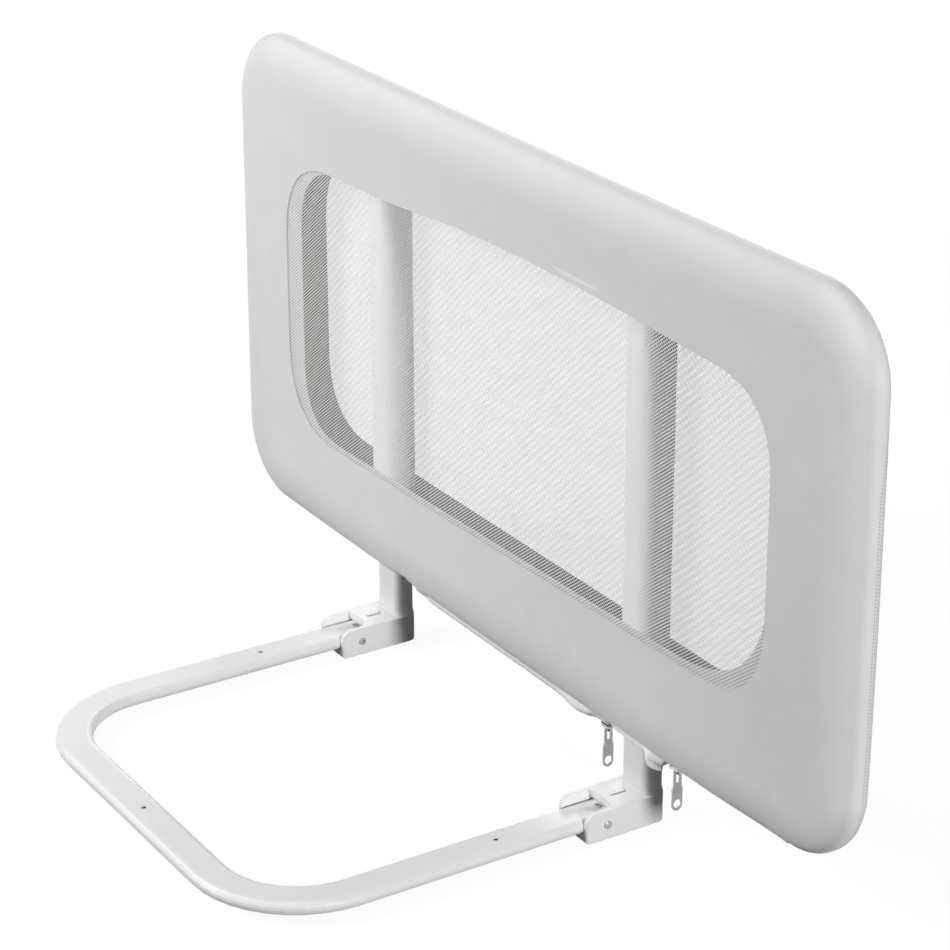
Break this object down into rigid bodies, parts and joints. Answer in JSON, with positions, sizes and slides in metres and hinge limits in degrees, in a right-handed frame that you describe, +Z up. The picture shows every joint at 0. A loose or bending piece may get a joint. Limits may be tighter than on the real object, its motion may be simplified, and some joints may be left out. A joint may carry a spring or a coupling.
{
  "type": "folding bed guard rail",
  "caption": "Padded mesh-windowed panel on a tubular frame, folding inward on two hinge brackets over a flat U-shaped base tube that lies under a mattress",
  "frame": {"origin": "centre of the footprint, at the height of the bracket soles", "axes": "+X along the panel, +Y away from the bed through the panel, +Z up; the base reaches toward -Y under the mattress"},
  "size_m": [0.9998, 0.4246, 0.5722],
  "materials": {
    "white_steel": "satin",
    "bracket": "satin",
    "bare_steel": "satin",
    "plug": "matte",
    "foam": "matte",
    "cloth": "matte",
    "mesh": "matte",
    "zip": "matte",
    "pull": "satin"
  },
  "bodies": {
    "base": {"base_tube": "white_steel", "tube_plug_left": "plug", "tube_plug_right": "plug", "plug_screw_left": "bare_steel", "plug_screw_right": "bare_steel"},
    "panel": {"hinge_bracket_left": "bracket", "hinge_bracket_right": "bracket", "pivot_rivet_left": "bare_steel", "pivot_rivet_right": "bare_steel", "post_left": "white_steel", "post_right": "white_steel", "frame_hoop": "white_steel", "lower_rail": "white_steel", "post_pad_left": "foam", "post_pad_right": "foam", "end_pad_left": "foam", "end_pad_right": "foam", "top_pad": "foam", "lower_pad": "foam", "cover_front": "cloth", "window_facing": "cloth", "mesh_front": "mesh", "cover_back": "cloth", "mesh_back": "mesh", "zip_tape_front": "zip", "zip_tape_rear": "zip", "zip_chain_middle": "zip", "zip_chain_right": "zip", "leg_tab_right": "cloth"},
    "slider_left": {"zip_slider_left": "bare_steel"},
    "slider_right": {"zip_slider_right": "bare_steel"},
    "pull_left": {"zip_pull_left": "pull"},
    "pull_right": {"zip_pull_right": "pull"}
  },
  "joints": [
    {"name": "panel_fold", "type": "hinge", "parent": "base", "child": "panel", "pos_m": [-0.0091, 0.14065, 0.014], "axis": [1, 0, 0], "range_deg": [0, 90]},
    {"name": "slider_left_run", "type": "slide", "parent": "panel", "child": "slider_left", "axis": [1, 0, 0], "range_m": [-0.31, 0]},
    {"name": "slider_right_run", "type": "slide", "parent": "panel", "child": "slider_right", "axis": [1, 0, 0], "range_m": [0, 0.155]},
    {"name": "pull_left_swing", "type": "hinge", "parent": "slider_left", "child": "pull_left", "pos_m": [0.1509, 0.19315, 0.06], "axis": [0, 1, 0], "range_deg": [-50, 75]},
    {"name": "pull_right_swing", "type": "hinge", "parent": "slider_right", "child": "pull_right", "pos_m": [0.2569, 0.19315, 0.0655], "axis": [0, 1, 0], "range_deg": [-75, 40]}
  ]
}
